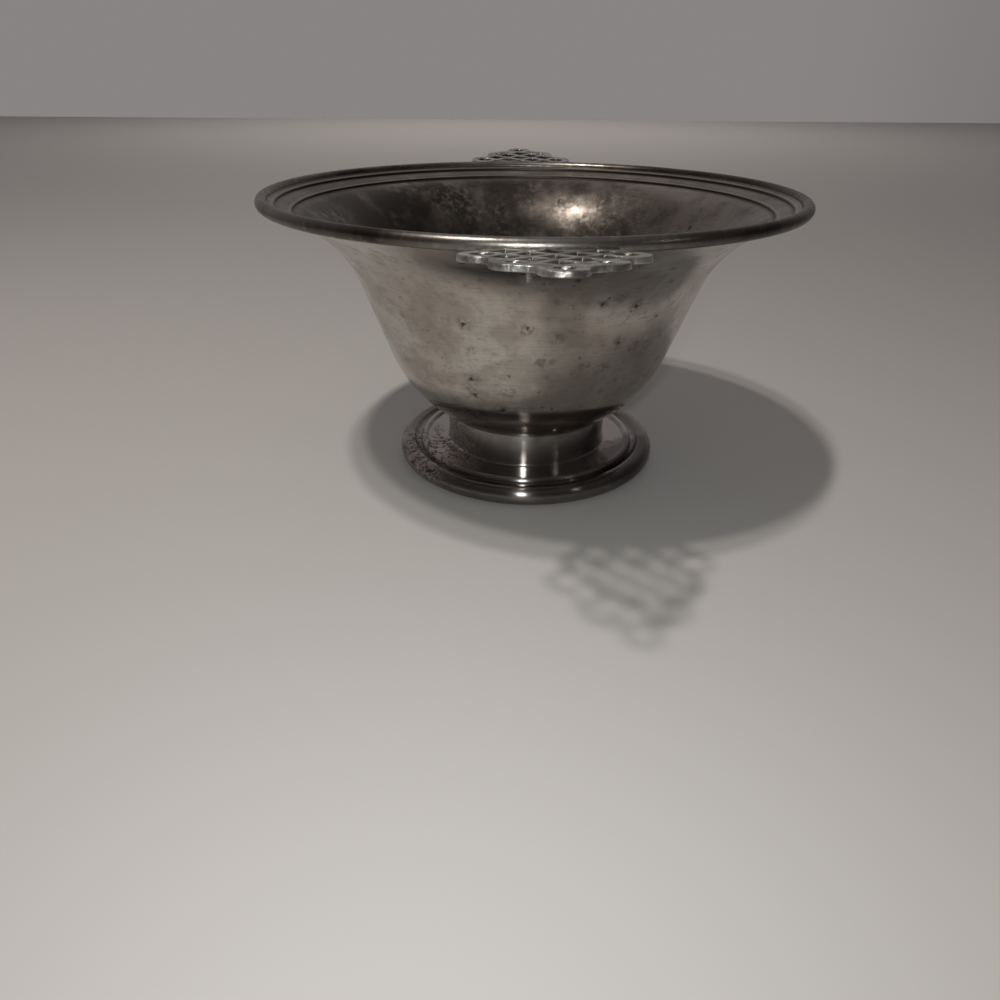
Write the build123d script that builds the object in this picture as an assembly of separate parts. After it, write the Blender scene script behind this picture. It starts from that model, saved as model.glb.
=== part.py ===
from build123d import *
import math
import os

# All sizes are in millimetres. The bowl's axis is +Z, the table is z = 0, and the handles lie along Y.

# Rim of the bowl
rim_radius = 76.0
rim_height = 81.6
rim_wire_radius = 1.6

# Bowl, spun from one sheet: a domed bottom, a knuckle, a conical wall, a flare and a reeded lip
bowl_sheet = 1.2
seat_radius = 25.0
seat_height = 15.7
dome_radius = 52.7
knuckle_share = 0.893
flare_share = 0.751
lip_width = 8.8
lip_drop = 5.75
lip_slope = 24.0
reed_step = 0.5
reed_bulge = 0.12
reed_share = 0.57

# Foot, spun from one sheet: a straight neck, a shelf, a bead, a groove and a rolled edge
foot_radius = 41.5
foot_sheet = 1.3
foot_edge_radius = 3.0
foot_edge_start_angle = 120.0
foot_land = 1.7
neck_outset = 0.4
neck_chamfer = 0.35
neck_corner_radius = 0.6
shelf_width = 6.4
shelf_slope = 3.0
groove_dip = 0.35
bead_radius = 1.3
bead_height = 4.9
bead_start_angle = 160.0
bead_end_angle = -22.0
foot_solder_leg = 2.0
foot_solder_dish = 0.35

# Pierced handles: a thin lobed plate with a lattice of openings, soldered on at the rim
handle_drop = 1.47
handle_rise = 0.59
handle_root_thickness = 1.4
handle_tip_thickness = 1.2
rear_handle_lift = 1.4
handle_root_inset = 4.5
handle_half_width = 13.8
handle_notch_radius = 0.8
corner_lobe_radius = 4.9
corner_lobe_across = 13.6
corner_lobe_along = 6.8
corner_eye_radius = 2.3
middle_lobe_radius = 4.1
middle_lobe_across = 8.0
middle_lobe_along = 18.4
middle_eye_radius = 1.4
tip_lobe_radius = 4.4
tip_lobe_along = 26.0
tip_eye_radius = 1.9
lattice_start = 2.8
lattice_across = 4.55
lattice_along = 4.1
lattice_bar = 1.8
lattice_corner_radius = 0.5
handle_solder_run = 1.6
rear_solder_angle = -45.0


def slope_vector(slope):
    """Unit vector, away from the bowl, square to a meridian that climbs at this slope."""
    return Vector(math.sin(math.radians(slope)), -math.cos(math.radians(slope)))


def circle_point(centre, radius, angle):
    """Point of a circle in the section plane, the angle counted from the outward direction."""
    return centre + Vector(math.cos(math.radians(angle)), math.sin(math.radians(angle))) * radius


def round_arc(centre, radius, start, end):
    """Arc of a circle in the section plane between two such angles."""
    angles = (start, (start + end) / 2, end)
    return ThreePointArc(*[circle_point(centre, radius, angle) for angle in angles])


def slope_arc(centre, radius, start, end):
    """Arc of a meridian whose slope runs from start to end; a negative radius bends the other way."""
    points = [centre + slope_vector(slope) * radius for slope in (start, (start + end) / 2, end)]
    return ThreePointArc(*points)


def spun(*edges):
    """Solid of revolution about Z of a closed section drawn as (radius, height)."""
    section = make_face(Wire.combine(edges)[0])
    return revolve(Plane.XZ * section, Axis.Z, 360)


def bulged(start, end, bulge):
    """Arc from start to end that stands above the line between them, or below if the bulge is negative."""
    run = end - start
    square = Vector(-run.Y, run.X).normalized()
    return ThreePointArc(start, (start + end) / 2 + square * bulge, end)


# Section of the bowl
seat_slope = math.degrees(math.asin(seat_radius / dome_radius))
seat = Vector(seat_radius, seat_height)
lip_start = Vector(rim_radius - lip_width, rim_height - lip_drop)
bowl_spread = lip_start.X - seat_radius
knuckle_radius = bowl_spread * knuckle_share
flare_radius = bowl_spread * flare_share
dome_centre = Vector(0, (seat - slope_vector(seat_slope) * dome_radius).Y)
knuckle_centre = seat - slope_vector(seat_slope) * knuckle_radius
flare_centre = lip_start + slope_vector(lip_slope) * flare_radius
span = flare_centre - knuckle_centre
wall_tilt = math.degrees(math.asin((knuckle_radius + flare_radius) / span.length))
wall_slope = math.degrees(math.atan2(span.Y, span.X)) + wall_tilt
wire_centre = Vector(rim_radius - rim_wire_radius, rim_height - rim_wire_radius)
lip_end = wire_centre - Vector(0, bowl_sheet / 2)


def meridian(inset):
    """Edges from the axis to the lip's start, moved into the bowl by inset."""
    dome = slope_arc(dome_centre, dome_radius - inset, 0, seat_slope)
    knuckle = slope_arc(knuckle_centre, knuckle_radius - inset, seat_slope, wall_slope)
    flare = slope_arc(flare_centre, -(flare_radius + inset), wall_slope, lip_slope)
    wall = Line(knuckle @ 1, flare @ 0)
    return [dome, knuckle, wall, flare]


def dome_height(radius):
    """Height of the domed bottom's underside at this radius."""
    return dome_centre.Y - math.sqrt(dome_radius**2 - radius**2)


def dome_arc(inner, outer):
    """Arc of the domed underside between two radii."""
    points = [Vector(radius, dome_height(radius)) for radius in (inner, (inner + outer) / 2, outer)]
    return ThreePointArc(*points)


def lip_height(radius):
    """Height of the lip's conical underside at this radius."""
    run = lip_end - lip_start
    return lip_start.Y + (radius - lip_start.X) * run.Y / run.X


# Rim wire, a round wire soldered on the lip's edge
wire_section = Pos(wire_centre.X, wire_centre.Y) * Circle(rim_wire_radius)
rim_wire = revolve(Plane.XZ * wire_section, Axis.Z, 360)

# Bowl
outside = meridian(0)
inside = meridian(bowl_sheet)
step = Vector(0, reed_step)
lip_top = lip_end + Vector(0, bowl_sheet)
first_reed = inside[-1] @ 1 + step
reed_gain = (lip_top - first_reed).Y - reed_step
reed_run = (lip_top - first_reed).X * reed_share
reed_line = first_reed + Vector(reed_run, reed_gain * reed_share)
lip_edges = [
    Line(outside[-1] @ 1, lip_end),
    Line(lip_end, lip_top),
    bulged(reed_line + step, lip_top, reed_bulge),
    Line(reed_line, reed_line + step),
    bulged(first_reed, reed_line, reed_bulge),
    Line(inside[-1] @ 1, first_reed),
]
axis_edge = Line(outside[0] @ 0, inside[0] @ 0)
bowl = spun(*outside, *lip_edges, *inside, axis_edge) - rim_wire

# Foot
neck_radius = seat_radius + neck_outset
neck_bore = neck_radius - foot_sheet
neck_shoulder = neck_radius - neck_chamfer
chamfer_foot = Vector(neck_radius, dome_height(neck_shoulder) - neck_chamfer)
shelf_tilt = math.radians(shelf_slope)
bead_rise = bead_height + bead_radius * math.sin(math.radians(bead_start_angle))
shelf_rise = bead_rise + shelf_width * math.tan(shelf_tilt)
corner_centre = Vector(
    neck_radius + neck_corner_radius,
    shelf_rise + neck_corner_radius * math.cos(shelf_tilt),
)
shelf_start = corner_centre.X - neck_corner_radius * math.sin(shelf_tilt)
bead_start = Vector(shelf_start + shelf_width, bead_rise)
bead_centre = circle_point(bead_start, -bead_radius, bead_start_angle)
edge_centre = Vector(foot_radius - foot_edge_radius, foot_edge_radius)
bead = round_arc(bead_centre, bead_radius, bead_start_angle, bead_end_angle)
edge = round_arc(edge_centre, foot_edge_radius, foot_edge_start_angle, -90)
heel = edge @ 1 - Vector(foot_land, 0)


def neck_corner(radius):
    """Arc in the corner between the neck's wall and the shelf."""
    return round_arc(corner_centre, radius, 180, 270 - shelf_slope)


neck_top = dome_arc(neck_bore, neck_shoulder)
corner_outside = neck_corner(neck_corner_radius)
corner_inside = neck_corner(neck_corner_radius + foot_sheet)
edge_under = heel + Vector(0, foot_sheet)
bead_under = bead_centre - Vector(0, foot_sheet)
foot = spun(
    neck_top,
    Line(neck_top @ 1, chamfer_foot),
    Line(chamfer_foot, corner_outside @ 0),
    corner_outside,
    Line(corner_outside @ 1, bead_start),
    bead,
    bulged(bead @ 1, edge @ 0, -groove_dip),
    edge,
    Line(edge @ 1, heel),
    Line(heel, edge_under),
    Line(edge_under, bead_under),
    Line(bead_under, corner_inside @ 1),
    corner_inside,
    Line(corner_inside @ 0, neck_top @ 0),
)

# Solder fillet inside the neck, between the foot and the domed bottom
fillet_inner = neck_bore - foot_solder_leg
fillet_top = dome_arc(fillet_inner, neck_bore)
fillet_low = fillet_top @ 1 - Vector(0, foot_solder_leg)
foot_solder = spun(
    fillet_top,
    Line(fillet_top @ 1, fillet_low),
    bulged(fillet_top @ 0, fillet_low, foot_solder_dish),
)

# Plan of a handle, seen from above, running along +Y
root_radius = rim_radius - handle_root_inset
corner_lobe_y = rim_radius + corner_lobe_along
middle_lobe_y = rim_radius + middle_lobe_along
tip_lobe_y = rim_radius + tip_lobe_along
tip_reach = tip_lobe_y + tip_lobe_radius


def disc(across, along, radius):
    """Round of the plan, centred at a distance across and along the handle."""
    return Pos(across, along) * Circle(radius)


def opening(column, row):
    """Diamond between the lattice's crossing bars, with rounded corners."""
    half_cell = math.hypot(lattice_across, lattice_along)
    shrink = 1 - lattice_bar * half_cell / (2 * lattice_across * lattice_along)
    half_across = lattice_across * shrink
    half_along = lattice_along * shrink
    corners = [(half_across, 0), (0, half_along), (-half_across, 0), (0, -half_along)]
    diamond = make_face(Polyline(*corners, close=True))
    diamond = fillet(diamond.vertices(), lattice_corner_radius)
    centre_y = rim_radius + lattice_start + row * lattice_along
    return Pos(column * lattice_across, centre_y) * diamond


half_outline = [
    (0, 0),
    (handle_half_width, 0),
    (handle_half_width, corner_lobe_y),
    (middle_lobe_across + middle_lobe_radius, middle_lobe_y),
    (middle_lobe_across, middle_lobe_y + middle_lobe_radius),
    (tip_lobe_radius / 2, tip_lobe_y),
    (0, tip_lobe_y),
]
half_plate = make_face(Polyline(*half_outline, close=True))
plan = half_plate + mirror(half_plate, Plane.YZ) - Circle(root_radius)
plan += disc(0, tip_lobe_y, tip_lobe_radius)
for side in (-1, 1):
    plan += disc(side * corner_lobe_across, corner_lobe_y, corner_lobe_radius)
    plan += disc(side * middle_lobe_across, middle_lobe_y, middle_lobe_radius)
plan = offset(offset(plan, handle_notch_radius), -handle_notch_radius)
plan -= disc(0, tip_lobe_y, tip_eye_radius)
for side in (-1, 1):
    plan -= disc(side * corner_lobe_across, corner_lobe_y, corner_eye_radius)
    plan -= disc(side * middle_lobe_across, middle_lobe_y, middle_eye_radius)
lattice_rows = [(-2, 0, 2), (-1, 1), (-2, 0, 2), (-1, 1), (0,)]
for row, columns in enumerate(lattice_rows):
    for column in columns:
        plan -= opening(column, row)

# Wedge between the handle's tilted top and underside, drawn as (along, height)
top_start = Vector(corner_lobe_y, rim_height - handle_drop)
top_end = Vector(tip_reach, rim_height + handle_rise)
under_start = top_start - Vector(0, handle_root_thickness)
under_end = top_end - Vector(0, handle_tip_thickness)


def along_line(start, end, along):
    """Point of the line from start to end at this distance along the handle."""
    return start + (end - start) * ((along - start.X) / (end.X - start.X))


wedge_start = root_radius - handle_half_width
wedge_end = tip_reach + tip_lobe_radius
wedge_section = Polyline(
    along_line(top_start, top_end, wedge_start),
    along_line(top_start, top_end, wedge_end),
    along_line(under_start, under_end, wedge_end),
    along_line(under_start, under_end, wedge_start),
    close=True,
)
wedge = extrude(Plane.YZ * make_face(wedge_section), amount=2 * rim_radius, both=True)
clear_height = 2 * rim_height
lip_space = spun(
    Polyline(
        lip_start,
        lip_end,
        Vector(lip_end.X, clear_height),
        Vector(lip_start.X, clear_height),
        close=True,
    )
)
handle = extrude(plan, amount=clear_height) & wedge
lift = Pos(0, 0, rear_handle_lift)
front_handle = Rot(0, 0, 180) * (handle - lip_space - rim_wire)
rear_handle = lift * handle - lip_space - rim_wire

# Solder under the lip at the inner end of the front handle, which is let in under the lip
root_under = along_line(under_start, under_end, root_radius)
solder_inner = root_radius - handle_solder_run
front_solder_line = Polyline(
    Vector(solder_inner, lip_height(solder_inner)),
    Vector(root_radius, lip_height(root_radius)),
    root_under,
    close=True,
)

# Solder under the rear handle, which is butted against the rim wire
solder_outer = along_line(under_start, under_end, rim_radius + handle_solder_run)
rear_solder_line = Polyline(
    wire_centre,
    circle_point(wire_centre, rim_wire_radius, rear_solder_angle),
    solder_outer + Vector(0, rear_handle_lift),
    close=True,
)
solder_span = 2 * math.degrees(math.asin(handle_half_width / root_radius))


def solder_sector(section):
    """Solder along the middle of the root of a handle that runs along +Y."""
    sector = revolve(Plane.XZ * section, Axis.Z, solder_span)
    return Rot(0, 0, 90 - solder_span / 2) * sector


front_handle_solder = Rot(0, 0, 180) * solder_sector(make_face(front_solder_line))
rear_handle_solder = solder_sector(make_face(rear_solder_line) - wire_section) - lift * wedge

nodes = {
    "bowl": bowl,
    "rim_wire": rim_wire,
    "foot": foot,
    "foot_solder": foot_solder,
    "front_handle": front_handle,
    "front_handle_solder": front_handle_solder,
    "rear_handle": rear_handle,
    "rear_handle_solder": rear_handle_solder,
}
os.makedirs("parts", exist_ok=True)
for name, shape in nodes.items():
    export_step(shape, f"parts/{name}.step")
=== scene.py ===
import math
from types import SimpleNamespace

import bpy
import numpy as np
import openvdb
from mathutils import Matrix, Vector


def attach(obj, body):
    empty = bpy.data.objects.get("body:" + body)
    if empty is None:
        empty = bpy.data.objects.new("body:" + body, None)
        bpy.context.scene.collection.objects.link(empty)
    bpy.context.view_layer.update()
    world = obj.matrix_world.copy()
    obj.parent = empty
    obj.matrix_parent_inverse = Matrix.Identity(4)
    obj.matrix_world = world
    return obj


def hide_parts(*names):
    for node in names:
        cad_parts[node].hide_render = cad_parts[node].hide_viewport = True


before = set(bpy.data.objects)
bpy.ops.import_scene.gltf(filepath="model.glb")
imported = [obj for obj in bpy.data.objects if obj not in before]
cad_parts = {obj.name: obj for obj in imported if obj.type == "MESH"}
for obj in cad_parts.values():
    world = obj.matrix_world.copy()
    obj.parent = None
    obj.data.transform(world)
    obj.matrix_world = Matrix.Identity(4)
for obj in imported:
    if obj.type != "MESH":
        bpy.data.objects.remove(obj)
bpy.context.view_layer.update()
scene = bpy.context.scene
scene.view_settings.view_transform = "Standard"


# Camera and lamps, in metres

CAMERA_PLACE = (-0.01256, -0.22473, 0.10875)
CAMERA_TURN = (60.005, -0.392, -0.842)  # degrees; with the place, fitted to the photo's rim and foot
WARM = (1.0, 0.93, 0.86)
COOL = (0.96, 1.0, 0.98)
CEILING_LAMP = {"aim": (-0.22, -0.12, 0.0), "size": 0.06, "power": 1.16, "spread": 120.0, "colour": WARM}
SMALL_LAMP = {"size": 0.012, "spread": 180.0, "colour": COOL}


def add(name, data):
    """Object of this data, linked into the scene."""
    made = bpy.data.objects.new(name, data)
    scene.collection.objects.link(made)
    return made


def lamp(name, place, aim, size, power, spread, colour):
    """Round soft lamp at a place, aimed at a point, its light fading towards the edge of its spread."""
    data = bpy.data.lights.new(name, "AREA")
    data.shape = "DISK"
    data.size = size
    data.energy = power
    data.spread = math.radians(spread)
    data.color = colour
    made = add(name, data)
    made.location = place
    made.rotation_euler = (Vector(aim) - Vector(place)).to_track_quat("-Z", "Y").to_euler()


camera = add("camera", bpy.data.cameras.new("camera"))
camera.data.sensor_width = 36.0
camera.data.lens = 26.38
camera.data.clip_start = 0.01
camera.location = CAMERA_PLACE
camera.rotation_euler = [math.radians(angle) for angle in CAMERA_TURN]
scene.camera = camera

lamp("lamp_near", (-0.260, -0.153, 1.026), **CEILING_LAMP)
lamp("lamp_far", (-0.310, -0.249, 1.026), **CEILING_LAMP)
lamp("lamp_front", (-0.021, -0.228, 0.116), aim=(0.0, 0.0, 0.04), power=0.145, **SMALL_LAMP)
lamp("lamp_side", (0.190, -0.190, 0.200), aim=(0.0, 0.0, 0.03), power=0.010, **SMALL_LAMP)
lamp("lamp_back", (0.0, 1.75, 1.25), aim=(0.0, 1.75, 0.0), size=1.6, power=4.5, spread=105.0, colour=WARM)


# Node trees

class Tree:
    """Short calls for building a node tree."""

    def __init__(self, owner):
        owner.use_nodes = True
        self.tree = owner.node_tree

    def node(self, kind, inputs=None, **settings):
        """New node with these settings; an input is a number, a colour or another node's output."""
        made = self.tree.nodes.new("ShaderNode" + kind)
        for key, value in settings.items():
            setattr(made, key, value)
        for key, value in (inputs or {}).items():
            self.feed(made.inputs[key], value)
        return made

    def feed(self, socket, value):
        """Link an output to a socket, or set the socket to a number or colour."""
        if isinstance(value, bpy.types.NodeSocket):
            self.tree.links.new(value, socket)
        else:
            socket.default_value = value

    def calc(self, operation, *values):
        """Output of a Math node."""
        return self.node("Math", dict(enumerate(values)), operation=operation).outputs[0]

    def total(self, *weighted):
        """Sum of values, each with its weight."""
        result = 0.0
        for value, weight in weighted:
            result = self.calc("MULTIPLY_ADD", value, weight, result)
        return result

    def vector(self, operation, *values):
        """Vector that a Vector Math node gives."""
        return self.node("VectorMath", dict(enumerate(values)), operation=operation).outputs[0]

    def measure(self, operation, *values):
        """Number that a Vector Math node gives."""
        return self.node("VectorMath", dict(enumerate(values)), operation=operation).outputs["Value"]

    def scaled(self, vector, factor):
        """Vector times a number."""
        return self.node("VectorMath", {0: vector, "Scale": factor}, operation="SCALE").outputs[0]

    def axes(self, vector):
        """The vector's X, Y and Z, by name."""
        return self.node("SeparateXYZ", {0: vector}).outputs

    def ramp(self, value, low, high, start=0.0, end=1.0):
        """Smooth step of a value from low to high, running from start to end."""
        inputs = {0: value, 1: low, 2: high, 3: start, 4: end}
        return self.node("MapRange", inputs, interpolation_type="SMOOTHSTEP").outputs[0]

    def noise(self, place, scale, detail=2.0, roughness=0.5):
        """Noise of about zero to one."""
        inputs = {"Vector": place, "Scale": scale, "Detail": detail, "Roughness": roughness}
        return self.node("TexNoise", inputs).outputs["Fac"]

    def mix(self, share, first, second):
        """Colour between two, by a share from zero to one."""
        inputs = {0: share, 6: first, 7: second}
        return self.node("Mix", inputs, data_type="RGBA").outputs[2]

    def layer(self, colour, tone, value, low, high, most=1.0):
        """Colour with a tone over it, by a share that grows to its most as a value goes from low to high."""
        return self.mix(self.ramp(value, low, high, 0.0, most), colour, tone)

    def coat(self, colour, tone, mask, most):
        """Colour with a tone over it, by a mask from zero to one times the most."""
        return self.mix(self.calc("MULTIPLY", mask, most), colour, tone)


def grey(red, green, blue):
    """Colour with full alpha."""
    return (red, green, blue, 1.0)


# Room: a pale wall behind the object, a grey ceiling, dimmer in front and on the right

ROOM_DIM = grey(0.055, 0.051, 0.05)
ROOM_WALL = grey(0.25, 0.233, 0.232)
ROOM_CEILING = grey(0.22, 0.205, 0.2)

room = bpy.data.worlds.new("room")
scene.world = room
sky = Tree(room)
way = sky.axes(sky.node("TexCoord").outputs["Generated"])
behind = sky.calc("MULTIPLY", sky.ramp(way["Y"], -0.4, 0.6), sky.ramp(way["Z"], 0.9, 0.5))
sky_colour = sky.mix(behind, ROOM_DIM, ROOM_WALL)
sky_colour = sky.layer(sky_colour, ROOM_DIM, way["X"], 0.3, 1.0, 0.9)
sky_colour = sky.layer(sky_colour, ROOM_CEILING, way["Z"], 0.75, 0.97)
sky.feed(sky.tree.nodes["Background"].inputs["Color"], sky_colour)


# Floor, in metres, just under the foot

FLOOR_HALF = 2.2
FLOOR_LEVEL = -0.0001
FLOOR_TONE = grey(0.54, 0.525, 0.515)

corners = [(x * FLOOR_HALF, y * FLOOR_HALF, FLOOR_LEVEL) for x, y in ((-1, -1), (1, -1), (1, 1), (-1, 1))]
floor_mesh = bpy.data.meshes.new("floor")
floor_mesh.from_pydata(corners, [], [(0, 1, 2, 3)])
floor = add("floor", floor_mesh)
floor_paint = bpy.data.materials.new("floor_paint")
floor_mesh.materials.append(floor_paint)
floor_shader = Tree(floor_paint).tree.nodes["Principled BSDF"]
floor_shader.inputs["Base Color"].default_value = FLOOR_TONE
floor_shader.inputs["Roughness"].default_value = 0.5


# Metal finishes, in millimetres about the bowl's axis

MM_PER_METRE = 1000.0
QUARTER_TURN = 0.25  # turns highlights from along the turning marks to across them
DARK = grey(0.045, 0.036, 0.03)


class Metal(Tree):
    """A metal finish: its tree, its places on the object, and its shader."""

    def __init__(self, name):
        self.material = bpy.data.materials.new(name)
        super().__init__(self.material)
        self.shader = self.tree.nodes["Principled BSDF"]
        self.shader.inputs["Metallic"].default_value = 1.0
        self.place = self.scaled(self.node("TexCoord").outputs["Object"], MM_PER_METRE)
        flat = self.vector("MULTIPLY", self.place, (1.0, 1.0, 0.0))
        self.radius = self.measure("LENGTH", flat)
        self.outward = self.vector("NORMALIZE", flat)
        self.height = self.axes(self.place)["Z"]
        normal = self.node("NewGeometry").outputs["Normal"]
        self.facing_up = self.axes(normal)["Z"]
        self.facing_out = self.measure("DOT_PRODUCT", normal, self.outward)

    def turned(self, around, along, slope=1.0):
        """Place drawn out round the axis: cells per radian around, and per millimetre along the section.

        The slope is 1 for a section that climbs outward and -1 for one that falls outward.
        """
        section = self.calc("MULTIPLY_ADD", self.height, slope, self.radius)
        up = self.node("CombineXYZ", {"Z": self.calc("MULTIPLY", section, along)}).outputs[0]
        return self.vector("ADD", self.scaled(self.outward, around), up)

    def spun(self, amount):
        """Highlights drawn out across the turning marks."""
        self.shader.inputs["Anisotropic"].default_value = amount
        self.shader.inputs["Anisotropic Rotation"].default_value = QUARTER_TURN
        tangent = self.node("Tangent", direction_type="RADIAL", axis="Z").outputs[0]
        self.feed(self.shader.inputs["Tangent"], tangent)

    def finish(self, colour, roughness, relief):
        """Colour, roughness and a relief in millimetres on the shader."""
        self.feed(self.shader.inputs["Base Color"], colour)
        self.feed(self.shader.inputs["Roughness"], roughness)
        bump = self.node("Bump", {"Strength": 1.0, "Distance": 1.0 / MM_PER_METRE, "Height": relief})
        self.feed(self.shader.inputs["Normal"], bump.outputs[0])
        return self.material


def ragged(metal, place, scale, amount):
    """Place shifted about by noise, so that a mark gets a ragged edge."""
    inputs = {"Vector": place, "Scale": scale, "Detail": 3.0}
    shift = metal.vector("SUBTRACT", metal.node("TexNoise", inputs).outputs["Color"], (0.5, 0.5, 0.5))
    return metal.vector("ADD", place, metal.scaled(shift, amount))


def pits(metal, cell, share, size, squeeze=1.0):
    """Ragged pits of 0.3 to 1 of a size, in a share of the cells of a loose grid, flattened by squeeze."""
    place = metal.vector("MULTIPLY", ragged(metal, metal.place, 0.9, 1.6), (1.0, 1.0, squeeze))
    cells = metal.node("TexVoronoi", {"Vector": place, "Scale": 1.0 / cell})
    pick = metal.node("SeparateColor", {0: cells.outputs["Color"]}).outputs
    chosen = metal.calc("LESS_THAN", pick[0], share)
    reach = metal.calc("MULTIPLY_ADD", pick[1], 0.7 * size / cell, 0.3 * size / cell)
    near = metal.ramp(metal.calc("DIVIDE", cells.outputs["Distance"], reach), 1.0, 0.3)
    return metal.calc("MULTIPLY", chosen, near)


def marks(metal, spots):
    """Single ragged pits at given places, each with its reach in millimetres."""
    place = ragged(metal, metal.place, 0.9, 1.8)
    worn = 0.0
    for spot, reach in spots:
        away = metal.measure("DISTANCE", place, spot)
        worn = metal.calc("MAXIMUM", worn, metal.ramp(away, reach, 0.3 * reach))
    return worn


def ring(metal, radius, width):
    """Band round the axis at a radius, fading to zero at its width to either side."""
    return metal.ramp(metal.calc("ABSOLUTE", metal.calc("SUBTRACT", metal.radius, radius)), width, 0.0)


def patch(metal, cloud, centre, fade_end, fade_start, most=1.0):
    """Patch round a place, its edge pushed about by a cloud."""
    push = 30.0
    shift = metal.calc("SUBTRACT", cloud, 0.5)
    away = metal.calc("MULTIPLY_ADD", shift, push, metal.measure("DISTANCE", metal.place, centre))
    return metal.ramp(away, fade_end, fade_start, 0.0, most)


# Bowl: satin spun pewter outside, darker and stained inside with painted shade towards -X, with dirt in the
# grooves of the lip

GROOVES = (66.5, 70.9)  # radii of the lip's grooves
REEDS = (67.2, 71.6)  # radii of the reeds beside them
REED_SWELL = 0.16
SMEAR_REACH = 3.2  # times the reach of the deep pit that a smear surrounds
DEEP_PITS = [  # single pits that the photo shows, each with its reach
    ((-18.7, -46.0, 55.8), 0.9),
    ((-17.1, -40.3, 39.3), 0.9),
    ((-16.1, -38.6, 34.1), 1.0),
    ((20.7, -42.8, 50.0), 0.9),
    ((23.8, -45.5, 60.3), 1.0),
    ((-3.0, -49.5, 55.6), 0.7),
    ((14.9, -50.0, 61.9), 0.8),
    ((-8.5, -38.5, 29.4), 1.2),
    ((14.0, 55.4, 70.5), 2.1),
    ((51.5, 18.4, 67.8), 1.2),
]
OUTSIDE_CLEAN = grey(0.60, 0.58, 0.535)
OUTSIDE_DULL = grey(0.46, 0.413, 0.368)
OUTSIDE_STAIN = grey(0.29, 0.245, 0.212)
OUTSIDE_BLOTCH = grey(0.14, 0.112, 0.092)
OUTSIDE_DASH = grey(0.15, 0.122, 0.10)
OUTSIDE_SMUDGE = grey(0.20, 0.17, 0.145)
OUTSIDE_LINE = grey(0.24, 0.21, 0.175)
INSIDE_CLEAN = grey(0.2, 0.176, 0.156)
INSIDE_TARNISH = grey(0.052, 0.045, 0.039)
INSIDE_OLIVE = grey(0.34, 0.30, 0.262)
INSIDE_DASH = grey(0.075, 0.062, 0.053)
LIP_WORN = grey(0.30, 0.27, 0.242)
REED_WORN = grey(0.46, 0.42, 0.375)


def bowl_wear(metal):
    """Noises and marks that the bowl's outside, inside, roughness and relief share."""
    wear = SimpleNamespace()
    wear.wide = metal.noise(metal.place, 0.026, 3.0, 0.55)
    wear.cloud = metal.noise(metal.place, 0.085, 5.0, 0.62)
    wear.smudge = metal.noise(metal.place, 0.42, 4.0, 0.6)
    wear.grain = metal.noise(metal.place, 1.5, 3.0, 0.6)
    wear.lines = metal.noise(metal.turned(2.5, 2.8), 1.0, 3.0, 0.65)
    wear.dashes = metal.noise(metal.turned(16.0, 1.7), 1.0, 2.0, 0.5)
    wear.deep = marks(metal, DEEP_PITS)
    fine_share = metal.ramp(wear.cloud, 0.40, 0.56, 0.15, 0.9)
    fine = metal.calc("MULTIPLY", pits(metal, 3.2, 0.5, 0.75), fine_share)
    wear.speck = metal.calc("MAXIMUM", pits(metal, 7.0, 0.45, 1.1, 1.4), fine)
    smear = metal.calc("MAXIMUM", pits(metal, 8.0, 0.75, 4.2, 1.6), pits(metal, 13.0, 0.35, 6.5, 1.7))
    round_pits = marks(metal, [(spot, SMEAR_REACH * reach) for spot, reach in DEEP_PITS])
    smear = metal.calc("MAXIMUM", smear, round_pits)
    crumbs = metal.ramp(metal.noise(metal.place, 0.75, 3.0, 0.6), 0.43, 0.55)
    wear.blotch = metal.calc("MULTIPLY", smear, metal.ramp(crumbs, 0.0, 1.0, 0.08, 0.55))
    return wear


def bowl_outside(metal, wear):
    """Colour of the outside: pale metal under stains, blotches, short dashes and turning lines."""
    colour = metal.layer(OUTSIDE_CLEAN, OUTSIDE_DULL, wear.wide, 0.36, 0.64)
    colour = metal.layer(colour, OUTSIDE_STAIN, wear.cloud, 0.44, 0.59, 0.45)
    colour = metal.mix(wear.blotch, colour, OUTSIDE_BLOTCH)
    colour = metal.layer(colour, OUTSIDE_DASH, wear.dashes, 0.63, 0.72, 0.5)
    colour = metal.layer(colour, OUTSIDE_SMUDGE, wear.smudge, 0.5, 0.7, 0.28)
    return metal.layer(colour, OUTSIDE_LINE, wear.lines, 0.40, 0.70, 0.25)


def bowl_inside(metal, wear):
    """Colour of the inside: tarnish, with painted shade darkest at -X and painted light at +X, a lighter
    lip, worn reeds and dirty grooves.
    """
    across = metal.axes(metal.place)["X"]
    # painted shade towards -X and painted light towards +X, added to the tarnish
    tarnish_and_shade = metal.calc("ADD", wear.cloud, metal.ramp(across, 10.0, 45.0, 0.06, -0.08))
    tarnish_and_shade = metal.calc("ADD", tarnish_and_shade, metal.ramp(across, -55.0, -15.0, 0.10, 0.0))
    colour = metal.layer(INSIDE_CLEAN, INSIDE_TARNISH, tarnish_and_shade, 0.32, 0.66)
    smudged = metal.ramp(wear.smudge, 0.45, 0.7, 0.0, 0.6)
    olive = metal.calc("MULTIPLY", metal.ramp(wear.wide, 0.45, 0.6), smudged)
    colour = metal.mix(olive, colour, INSIDE_OLIVE)
    colour = metal.layer(colour, INSIDE_DASH, wear.dashes, 0.57, 0.70, 0.5)
    colour = metal.layer(colour, LIP_WORN, metal.radius, 63.5, 66.0, 0.25)
    for groove, reed in zip(GROOVES, REEDS):
        colour = metal.coat(colour, REED_WORN, ring(metal, reed, 0.7), 0.4)
        colour = metal.coat(colour, DARK, ring(metal, groove, 0.9), 0.95)
    return colour


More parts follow.
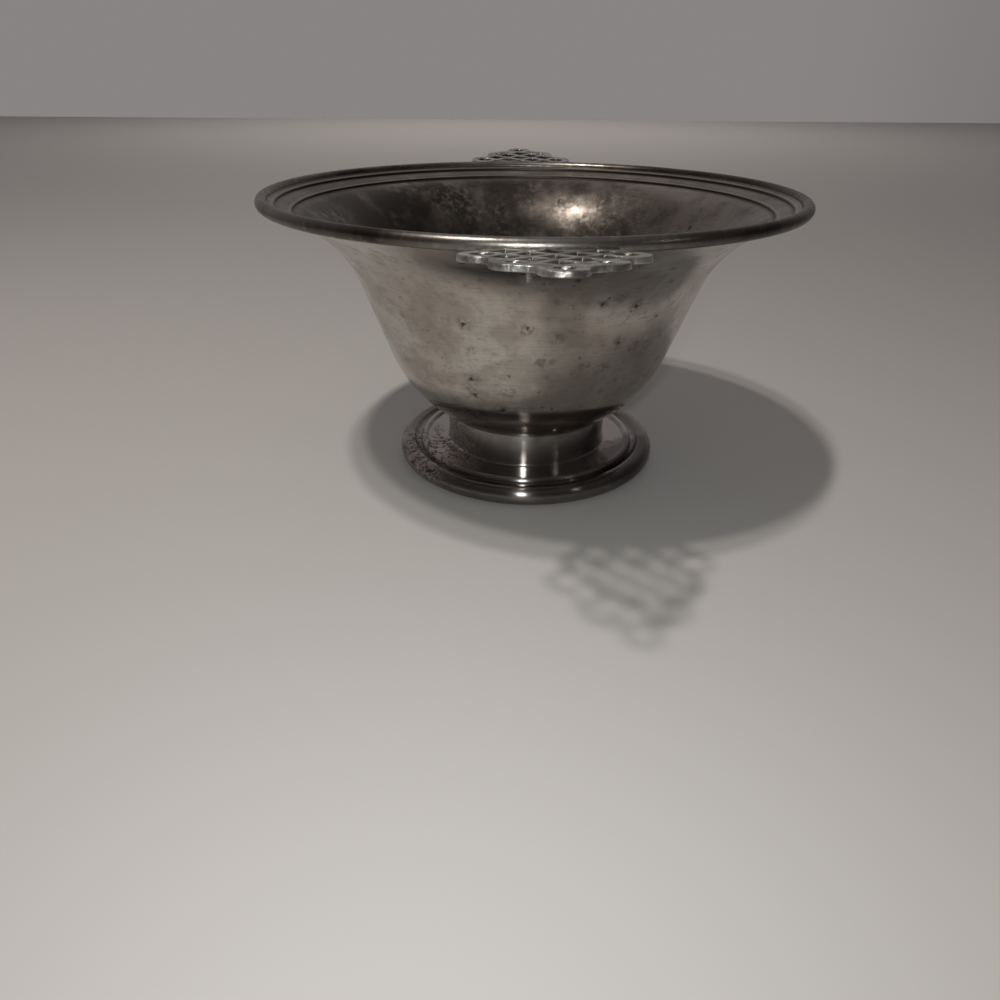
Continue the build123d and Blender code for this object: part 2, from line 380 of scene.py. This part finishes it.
def bowl_finish(name):
    """Outside and inside of the bowl in one finish, told apart by the way that the surface faces."""
    metal = Metal(name)
    metal.spun(0.3)
    inside = metal.ramp(metal.calc("SUBTRACT", metal.facing_up, metal.facing_out), -0.25, 0.25)
    wear = bowl_wear(metal)
    colour = metal.mix(inside, bowl_outside(metal, wear), bowl_inside(metal, wear))
    colour = metal.coat(colour, DARK, metal.calc("MAXIMUM", wear.speck, wear.deep), 0.88)
    rough = metal.total(
        (metal.ramp(wear.cloud, 0.3, 0.8, 0.10, 0.17), 1.0),
        (metal.ramp(wear.lines, 0.3, 0.7, -0.02, 0.02), 1.0),
        (metal.ramp(metal.height, 26.0, 44.0, 0.0, 0.06), 1.0),
        (inside, 0.13),
        (wear.blotch, 0.12),
    )
    relief = metal.total(
        (wear.lines, 0.006),
        (wear.grain, 0.006),
        (wear.cloud, 0.03),
        (wear.wide, 0.08),
        (wear.speck, -0.03),
        (wear.deep, -0.06),
        *[(metal.calc("MULTIPLY", ring(metal, reed, 1.0), inside), REED_SWELL) for reed in REEDS],
    )
    metal.feed(metal.shader.inputs["Metallic"], metal.calc("MULTIPLY_ADD", inside, -0.15, 0.97))
    return metal.finish(colour, rough, relief)


# Rim wire

WIRE_CLEAN = grey(0.14, 0.124, 0.111)
WIRE_TARNISH = grey(0.058, 0.05, 0.044)
WIRE_RUBBED = grey(0.36, 0.335, 0.305)
# wear by the handles, with a painted highlight on it
WIRE_HELD_WEAR_AND_HIGHLIGHT = grey(0.56, 0.545, 0.51)


def wire_finish(name):
    """Rim wire, dark with tarnish, with a painted dark reflection at +X, rubbed light in places, and worn
    light with a painted highlight by the handles.
    """
    metal = Metal(name)
    metal.spun(0.3)
    cloud = metal.noise(metal.place, 0.05, 4.0, 0.6)
    rub = metal.noise(metal.turned(30.0, 0.6), 1.0, 3.0, 0.6)
    grain = metal.noise(metal.place, 1.4, 3.0, 0.6)
    toward = metal.axes(metal.outward)
    colour = metal.layer(WIRE_CLEAN, WIRE_TARNISH, cloud, 0.42, 0.62)
    colour = metal.layer(colour, WIRE_RUBBED, rub, 0.52, 0.72, 0.4)
    # painted dark reflection: the wire darkens towards +X
    colour = metal.layer(colour, DARK, toward["X"], 0.3, 0.8, 0.6)
    # lighter by the handles: wear, and a painted highlight
    held_wear_and_highlight = metal.ramp(metal.calc("ABSOLUTE", toward["Y"]), 0.90, 0.985, 0.0, 0.22)
    held_wear_and_highlight = metal.calc("MULTIPLY", held_wear_and_highlight, metal.ramp(rub, 0.3, 0.6, 0.4, 1.0))
    colour = metal.mix(held_wear_and_highlight, colour, WIRE_HELD_WEAR_AND_HIGHLIGHT)
    rough = metal.ramp(rub, 0.3, 0.7, 0.38, 0.30)
    return metal.finish(colour, rough, metal.total((grain, 0.012), (rub, 0.03)))


# Foot

CORRODED_AT = (-36.0, -15.0, 3.0)
# centre of a painted dark reflection on the foot
DARK_REFLECTION_AT = (33.0, -19.0, 4.0)
FOOT_CLEAN = grey(0.42, 0.402, 0.384)
FOOT_DULL = grey(0.29, 0.272, 0.256)
FOOT_LINE = grey(0.16, 0.146, 0.136)
# painted reflection on faces that look up
FOOT_SHELF_REFLECTION = grey(0.50, 0.46, 0.44)
FOOT_EDGE = grey(0.18, 0.162, 0.153)
FOOT_DARK_REFLECTION = grey(0.075, 0.062, 0.058)
FOOT_CORRODED = grey(0.44, 0.39, 0.38)
FOOT_EATEN = grey(0.055, 0.042, 0.04)


def foot_finish(name):
    """Polished dark pewter with a corroded patch at -X, a painted dark reflection at +X, and a painted
    reflection lightening the faces that look up.
    """
    metal = Metal(name)
    metal.spun(0.9)
    cloud = metal.noise(metal.place, 0.11, 5.0, 0.62)
    grain = metal.noise(metal.place, 1.1, 5.0, 0.7)
    lines = metal.noise(metal.turned(3.0, 3.0, -1.0), 1.0, 3.0, 0.65)
    corroded = patch(metal, cloud, CORRODED_AT, 25.0, 12.0)
    cluster = metal.ramp(metal.noise(metal.place, 0.3, 3.0, 0.6), 0.43, 0.53)
    crumbs = metal.calc("MULTIPLY", cluster, metal.ramp(grain, 0.48, 0.55))
    eaten = metal.calc("MULTIPLY", corroded, crumbs)
    speck = pits(metal, 5.0, 0.25, 0.5)
    shelf = metal.ramp(metal.facing_up, 0.85, 0.98)
    colour = metal.layer(FOOT_CLEAN, FOOT_DULL, cloud, 0.42, 0.66)
    colour = metal.layer(colour, FOOT_LINE, lines, 0.4, 0.75, 0.3)
    # painted reflection: faces that look up are lighter
    colour = metal.coat(colour, FOOT_SHELF_REFLECTION, shelf, 0.8)
    colour = metal.layer(colour, FOOT_EDGE, metal.radius, 34.0, 37.0, 0.8)
    # painted dark reflection: a dark patch at +X
    colour = metal.mix(patch(metal, cloud, DARK_REFLECTION_AT, 19.0, 11.0, 0.8), colour, FOOT_DARK_REFLECTION)
    colour = metal.coat(colour, FOOT_CORRODED, corroded, 0.5)
    colour = metal.coat(colour, FOOT_EATEN, eaten, 0.85)
    colour = metal.mix(speck, colour, DARK)
    polish = metal.ramp(cloud, 0.3, 0.8, 0.19, 0.27)
    rough = metal.total((polish, 1.0), (shelf, -0.09), (corroded, 0.06), (eaten, 0.25))
    relief = metal.total((lines, 0.004), (cloud, 0.03), (eaten, -0.06), (speck, -0.08))
    return metal.finish(colour, rough, relief)


# Handles and solder

HANDLE_CLEAN = grey(0.56, 0.55, 0.525)
HANDLE_DULL = grey(0.25, 0.235, 0.216)
# dirt with painted shade, for the openings and underneath
HANDLE_DIRT_AND_SHADE = grey(0.07, 0.06, 0.052)
SOLDER_DULL = grey(0.24, 0.22, 0.20)
SOLDER_CLEAN = grey(0.42, 0.40, 0.37)


def handle_finish(name):
    """Cast pewter, mottled light and dull, with dirt and painted shade in its openings and underneath."""
    metal = Metal(name)
    cloud = metal.noise(metal.place, 0.22, 4.0, 0.6)
    grain = metal.noise(metal.place, 1.6, 3.0, 0.6)
    lump = metal.noise(metal.place, 0.5, 2.0, 0.5)
    recess = metal.node("Attribute", attribute_name="recess").outputs["Fac"]
    # painted shade, with dirt: darker in the openings and on faces that look down
    opening_or_underside = metal.calc("MAXIMUM", recess, metal.ramp(metal.facing_up, -0.1, -0.7))
    dirt_and_shade = metal.calc("MULTIPLY", opening_or_underside, metal.ramp(grain, 0.3, 0.6, 0.6, 0.95))
    colour = metal.layer(HANDLE_CLEAN, HANDLE_DULL, cloud, 0.42, 0.60)
    colour = metal.mix(dirt_and_shade, colour, HANDLE_DIRT_AND_SHADE)
    rough = metal.ramp(cloud, 0.3, 0.75, 0.36, 0.48)
    return metal.finish(colour, rough, metal.total((grain, 0.03), (lump, 0.36)))


def solder_finish(name):
    """Dull grey solder."""
    metal = Metal(name)
    cloud = metal.noise(metal.place, 0.5, 4.0, 0.6)
    colour = metal.mix(cloud, SOLDER_DULL, SOLDER_CLEAN)
    return metal.finish(colour, metal.ramp(cloud, 0.2, 0.8, 0.4, 0.6), metal.total((cloud, 0.08)))


solder_metal = solder_finish("dull_solder")
dressed = {
    "bowl": bowl_finish("aged_pewter_bowl"),
    "rim_wire": wire_finish("aged_pewter_wire"),
    "foot": foot_finish("aged_pewter_foot"),
    "foot_solder": solder_metal,
    "front_handle_solder": solder_metal,
    "rear_handle_solder": solder_metal,
}
for node, material in dressed.items():
    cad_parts[node].data.materials[0] = material


# Cast handles, in millimetres: the CAD's pierced plate with soft edges, as a field of distances

GRID_STEP = 0.15
GRID_CORNER = np.array([-19.2, 70.5, 76.8])
GRID_SIZE = (38.4, 37.2, 6.0)
NOTCH_BLEND = 1.6  # rounding between a lobe and the plate
OPENING_BLEND = 0.5  # rounding where an opening nears the outline
EDGE_BLEND = 0.25  # rounding along the plate's edges
DRAFT = math.tan(math.radians(8.0))
DRAFT_LEVEL = 0.7  # over the underside, where the drafted walls have the CAD's plan
OUTLINE = [(0, 0), (13.8, 0), (13.8, 82.8), (12.1, 94.4), (8.0, 98.5), (2.2, 102.0), (0, 102.0)]
LOBES = [(13.6, 82.8, 4.9), (8.0, 94.4, 4.1), (0, 102.0, 4.4)]  # each with its radius
EYES = [(13.6, 82.8, 2.3), (8.0, 94.4, 1.4), (0, 102.0, 1.9)]
DIAMOND = (4.55, 4.1)  # half width and half length of a diamond, to the middle of its bars
BAR = 1.8
LATTICE_START = 78.8
LATTICE_ROWS = [(0, 2), (1,), (0, 2), (1,), (0,)]  # columns that have a diamond, row by row
TOP = ((82.8, 80.13), (106.4, 82.19))  # two points on the plate's face: along the handle, and height
UNDER = ((82.8, 78.73), (106.4, 80.99))
ROOT_RADIUS = 71.5
LIP_UNDERSIDE = ((67.2, 75.85), (74.4, 79.4))  # two points: radius and height
WIRE_RADIUS = 74.4
WIRE_HEIGHT = 80.0
WIRE_HALF = 1.6
REAR_LIFT = 1.4
DIRT_AND_SHADE_MARGIN = 0.6  # dirt and painted shade reach this far from an opening
DIRT_AND_SHADE_DEPTH = 0.5  # and are full at this depth under the face


def soft_max(first, second, width):
    """Larger of two distances, rounded where they meet."""
    near = np.maximum(width - np.abs(first - second), 0.0) / width
    return np.maximum(first, second) + near * near * width / 4


def soft_min(first, second, width):
    """Smaller of two distances, rounded where they meet."""
    return -soft_max(-first, -second, width)


def polygon(x, y, corners):
    """Signed distance to a polygon, negative inside."""
    inside = np.zeros(x.shape, bool)
    nearest = np.full(x.shape, np.inf)
    for (ax, ay), (bx, by) in zip(corners, corners[1:] + corners[:1]):
        run_x, run_y = bx - ax, by - ay
        share = np.clip(((x - ax) * run_x + (y - ay) * run_y) / (run_x**2 + run_y**2), 0, 1)
        nearest = np.minimum(nearest, np.hypot(x - ax - share * run_x, y - ay - share * run_y))
        if ay != by:
            inside ^= ((ay > y) != (by > y)) & (x < ax + (y - ay) * run_x / run_y)
    return np.where(inside, -nearest, nearest)


def plate_outline(x, y):
    """Signed distance to the lobed plate seen from above, negative inside."""
    mirrored = OUTLINE + [(-a, b) for a, b in reversed(OUTLINE) if a]
    plan = polygon(x, y, mirrored)
    for a, b, radius in LOBES:
        plan = soft_min(plan, np.hypot(np.abs(x) - a, y - b) - radius, NOTCH_BLEND)
    return plan


def plate_openings(x, y):
    """Signed distance to the eyes and the lattice's diamonds, positive in an opening."""
    across = np.abs(x)
    plan = np.full(x.shape, -np.inf)
    for a, b, radius in EYES:
        plan = np.maximum(plan, radius - np.hypot(across - a, y - b))
    half_x, half_y = DIAMOND
    slant = math.hypot(half_x, half_y)
    for row, columns in enumerate(LATTICE_ROWS):
        for column in columns:
            gap_x = np.abs(across - column * half_x)
            gap_y = np.abs(y - LATTICE_START - row * half_y)
            plan = np.maximum(plan, (half_x * half_y - gap_x * half_y - gap_y * half_x) / slant - BAR / 2)
    return plan


def level(line, along):
    """Height of a sloping face at a distance along the handle."""
    (start, low), (end, high) = line
    return low + (along - start) * (high - low) / (end - start)


def rim_gap(radius, height):
    """Signed distance to the lip, with all that lies over it, and the rim wire, negative inside."""
    (start, low), (end, high) = LIP_UNDERSIDE
    rise = math.atan2(high - low, end - start)
    over_lip = (height - low) * math.cos(rise) - (radius - start) * math.sin(rise)
    lip = np.maximum(-over_lip, radius - end)
    wire = np.hypot(radius - WIRE_RADIUS, height - WIRE_HEIGHT) - WIRE_HALF
    return np.minimum(lip, wire)


def handle_field(lift):
    """Signed distance to a handle before its lift, negative inside, cut to fit the rim after the lift."""
    count = [int(size / GRID_STEP) for size in GRID_SIZE]
    steps = [start + GRID_STEP * np.arange(n) for start, n in zip(GRID_CORNER, count)]
    x, y, z = np.meshgrid(*steps, indexing="ij")
    flat_x, flat_y = x[:, :, 0], y[:, :, 0]
    plan = soft_max(plate_outline(flat_x, flat_y), plate_openings(flat_x, flat_y), OPENING_BLEND)[:, :, None]
    plan = plan + (z - level(UNDER, y) - DRAFT_LEVEL) * DRAFT
    plate = soft_max(soft_max(plan, z - level(TOP, y), EDGE_BLEND), level(UNDER, y) - z, EDGE_BLEND)
    radius = np.hypot(flat_x, flat_y)[:, :, None]
    return np.maximum(np.maximum(plate, -rim_gap(radius, z + lift)), ROOT_RADIUS - radius)


def handle_mesh(name, side, lift, material):
    """Mesh of a handle on the +Y or -Y side, with how deep in an opening each point lies."""
    grid = openvdb.FloatGrid(4 * GRID_STEP)
    grid.copyFromArray(handle_field(lift).astype(np.float32))
    points, quads = grid.convertToQuads(isovalue=0.0)
    places = GRID_CORNER + GRID_STEP * points
    depth = level(TOP, places[:, 1]) - places[:, 2]
    near_opening = plate_openings(places[:, 0], places[:, 1]) > -DIRT_AND_SHADE_MARGIN
    recess = np.where(near_opening, np.clip(depth / DIRT_AND_SHADE_DEPTH, 0, 1), 0)
    places[:, 2] += lift
    mesh = bpy.data.meshes.new(name)
    mesh.from_pydata((places * np.array([side, side, 1.0]) / MM_PER_METRE).tolist(), [], quads.tolist())
    mesh.polygons.foreach_set("use_smooth", np.ones(len(quads), bool))
    mesh.attributes.new("recess", "FLOAT", "POINT").data.foreach_set("value", recess.astype(np.float32))
    mesh.materials.append(material)
    return mesh


handle_metal = handle_finish("aged_pewter_handle")
for node, side, lift in (("front_handle", -1.0, 0.0), ("rear_handle", 1.0, REAR_LIFT)):
    piece = add(node + "_cast", handle_mesh(node + "_cast", side, lift, handle_metal))
    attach(piece, "root")
    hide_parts(node)
